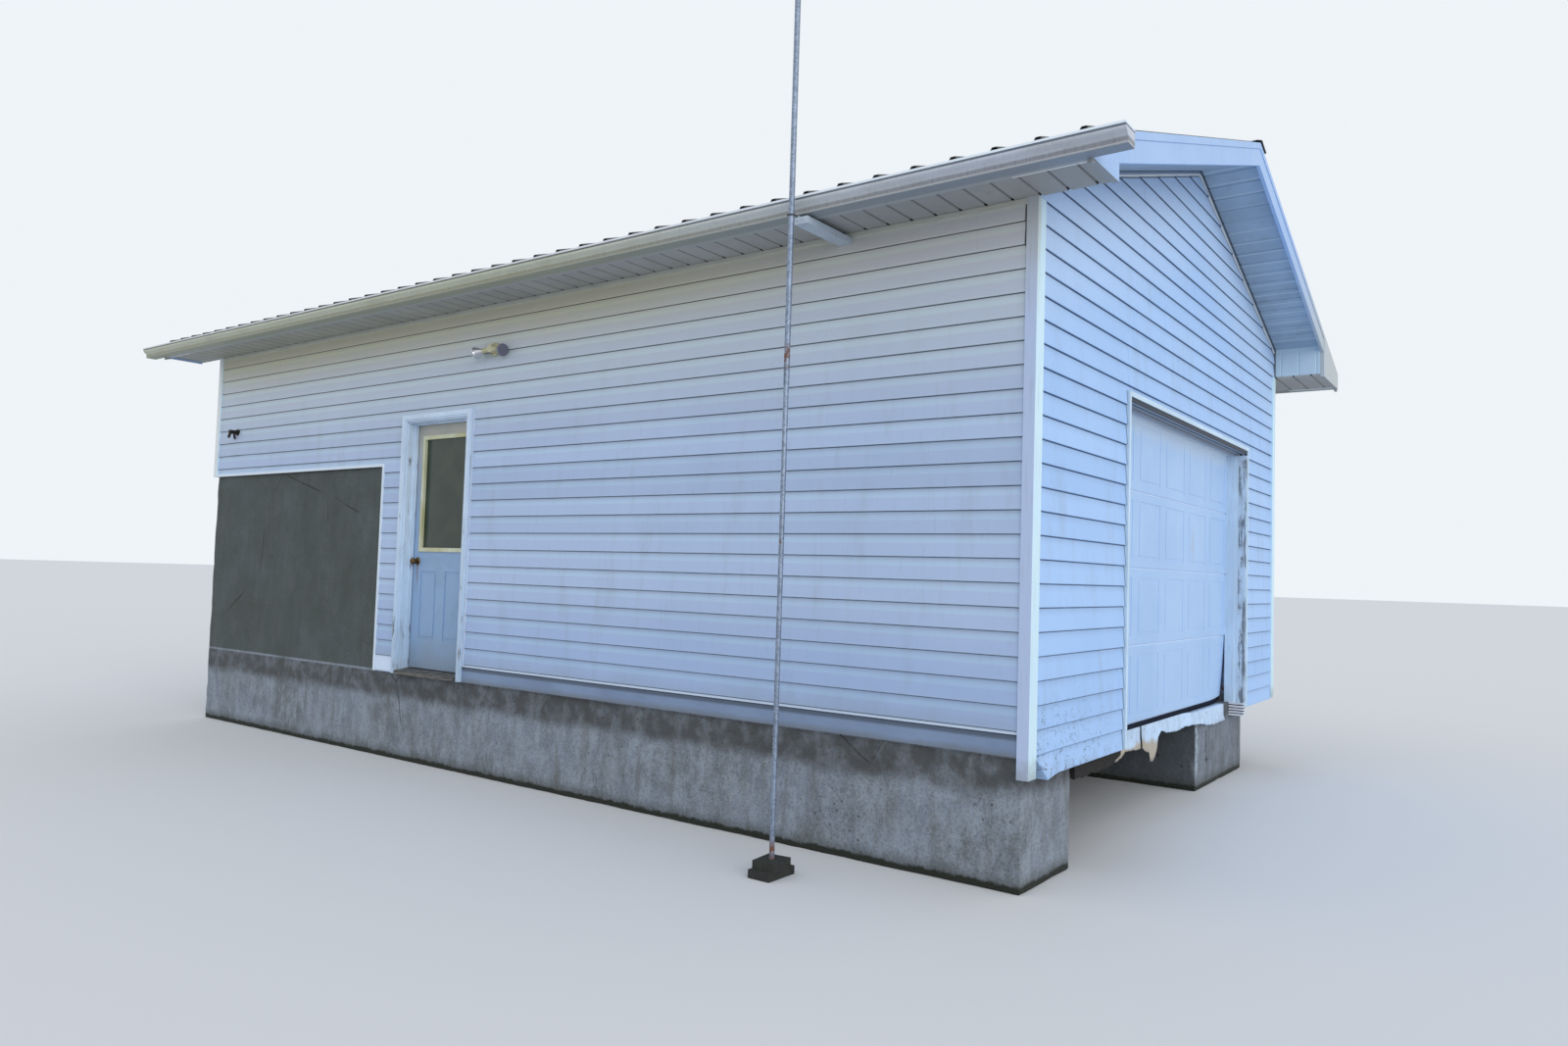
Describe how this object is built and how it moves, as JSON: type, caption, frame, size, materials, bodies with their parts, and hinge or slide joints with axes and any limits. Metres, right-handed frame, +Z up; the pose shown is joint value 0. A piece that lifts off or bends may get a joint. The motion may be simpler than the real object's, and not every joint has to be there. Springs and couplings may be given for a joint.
{
  "type": "boathouse",
  "caption": "Lakeside boathouse with lap siding, a ribbed metal gable roof, a sectional boat door over an open slip between concrete ledges, and a hinged side door.",
  "frame": {"origin": "centre of the overall footprint, at the lowest point of the foundation (the water line)", "axes": "+Z up, -Y towards the lake, -X towards the side with the man door, +Y along the ridge to the bank"},
  "size_m": [7.1488, 10.01, 5.162],
  "materials": {
    "concrete": "rough, stained",
    "siding": "matt",
    "white_trim": "satin paint",
    "painted_wood": "worn white paint",
    "sill_metal": "dull, dirty",
    "door_paint": "satin, stained",
    "yellowed_plastic": "yellowed",
    "dark_glass": "dark reflective",
    "knob_metal": "tarnished",
    "white_steel": "satin",
    "seal_rubber": "matt",
    "galvanised": "dull zinc with rust",
    "framing_wood": "sawn",
    "roof_metal": "satin",
    "soffit_vinyl": "matt",
    "gutter_white": "satin, stained",
    "lamp_white": "satin",
    "lamp_black": "matt",
    "weathered_wood": "weathered, dirty"
  },
  "bodies": {
    "building": {"foundation_left": "concrete", "foundation_right": "concrete", "foundation_back": "concrete", "left_wall_front": "siding", "left_wall_over_door": "siding", "left_wall_middle": "siding", "left_wall_back": "siding", "right_wall_front": "siding", "right_wall_back": "siding", "back_wall": "siding", "front_wall_left": "siding", "front_wall_right": "siding", "front_gable": "siding", "corner_posts": "white_trim", "base_trims": "white_trim", "door_frame": "painted_wood", "door_sill": "sill_metal", "boat_door_frame": "painted_wood", "boat_door_trim": "white_trim", "door_section_1": "white_steel", "door_section_2": "white_steel", "door_section_3": "white_steel", "door_section_4": "white_steel", "boat_door_seal": "seal_rubber", "boat_door_tracks": "galvanised", "rafters": "framing_wood", "joists": "framing_wood", "purlins": "framing_wood", "roof_left": "roof_metal", "roof_right": "roof_metal", "ridge_cap": "roof_metal", "eave_fascias": "white_trim", "rake_fascias": "white_trim", "eave_soffits": "soffit_vinyl", "rake_soffits": "soffit_vinyl", "gutter": "gutter_white", "floodlight": "lamp_white", "wall_fixture": "lamp_black", "mast": "galvanised", "mast_bracket": "painted_wood", "mast_blocks": "weathered_wood"},
    "door": {"man_door": "door_paint", "lite_frame": "yellowed_plastic", "lite_glass": "dark_glass", "door_knobs": "knob_metal"}
  },
  "joints": [
    {"name": "man_door_hinge", "type": "hinge", "parent": "building", "child": "door", "pos_m": [-2.7705, 0.312, 1.75], "axis": [0, 0, -1], "range_deg": [0, 95]}
  ]
}
